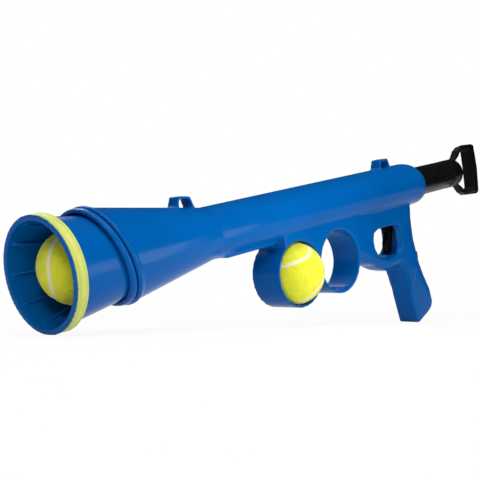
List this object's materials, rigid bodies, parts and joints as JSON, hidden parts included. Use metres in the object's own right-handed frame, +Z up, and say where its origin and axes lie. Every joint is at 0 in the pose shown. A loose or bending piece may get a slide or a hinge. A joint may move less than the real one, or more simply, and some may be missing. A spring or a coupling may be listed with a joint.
{
  "type": "dog ball thrower",
  "caption": "Hand-held plunger launcher for a dog ball: flared nozzle, round barrel, two ball rings underneath, pistol grip with trigger and a pull handle at the back",
  "frame": {"origin": "middle of the bounding box's bottom face, on the floor that the nozzle's rim and the grip's toe stand on", "axes": "+X from the mouth to the pull handle, +Y to the launcher's far side, +Z up; the barrel's axis rises 12.79 degrees towards +X"},
  "size_m": [0.676, 0.0958, 0.2251],
  "materials": {
    "blue_plastic": "glossy moulded blue",
    "pale_yellow_rubber": "satin pale yellow",
    "yellow_felt": "fuzzy felt",
    "black_plastic": "satin moulded black",
    "soft_black_rubber": "matt",
    "white_nylon": "matt natural",
    "zinc_steel": "zinc plated"
  },
  "bodies": {
    "root": {"body_shell_left": "blue_plastic", "body_shell_right": "blue_plastic", "collar_ring": "blue_plastic", "nozzle": "blue_plastic", "nozzle_band": "pale_yellow_rubber", "front_guide": "white_nylon", "rear_bush": "white_nylon", "front_bumper": "soft_black_rubber", "spring_seat": "zinc_steel", "main_spring": "zinc_steel", "trigger_pin": "zinc_steel", "trigger_spring": "zinc_steel", "sear_pin": "zinc_steel", "shell_screw_1": "zinc_steel", "shell_screw_2": "zinc_steel", "shell_screw_3": "zinc_steel", "shell_screw_4": "zinc_steel", "shell_screw_5": "zinc_steel", "shell_screw_6": "zinc_steel"},
    "plunger": {"plunger_tube": "black_plastic", "striker_cap": "black_plastic", "striker_pad": "soft_black_rubber", "spring_collar": "black_plastic", "pull_handle": "black_plastic", "handle_pin": "zinc_steel"},
    "trigger": {"trigger": "black_plastic"},
    "sear": {"sear": "zinc_steel"},
    "launch_ball": {"launch_ball": "yellow_felt"},
    "spare_ball": {"spare_ball": "yellow_felt"}
  },
  "joints": [
    {"name": "plunger_slide", "type": "slide", "parent": "root", "child": "plunger", "axis": [0.9752, 0, 0.2214], "range_m": [0, 0.12], "stiffness_N_per_m": 150, "springref_m": -0.06, "deforming": ["main_spring"]},
    {"name": "trigger_pull", "type": "hinge", "parent": "root", "child": "trigger", "pos_m": [0.14315, 0, 0.11432], "axis": [0, -1, 0], "range_deg": [0, 14], "stiffness_Nm_per_rad": 0.2, "springref_deg": -17.19},
    {"name": "sear_tilt", "type": "hinge", "parent": "root", "child": "sear", "pos_m": [0.13292, 0, 0.12328], "axis": [0, -1, 0], "range_deg": [0, 9]},
    {"name": "launch_ball_out", "type": "slide", "parent": "root", "child": "launch_ball", "axis": [-0.9752, 0, -0.2214], "range_m": [0, 0.075]},
    {"name": "spare_ball_out", "type": "slide", "parent": "root", "child": "spare_ball", "axis": [0, -1, 0], "range_m": [-0.06, 0.06]}
  ],
  "couplings": [
    {"joint": "sear_tilt", "follows": "trigger_pull", "ratio": 0.6}
  ]
}
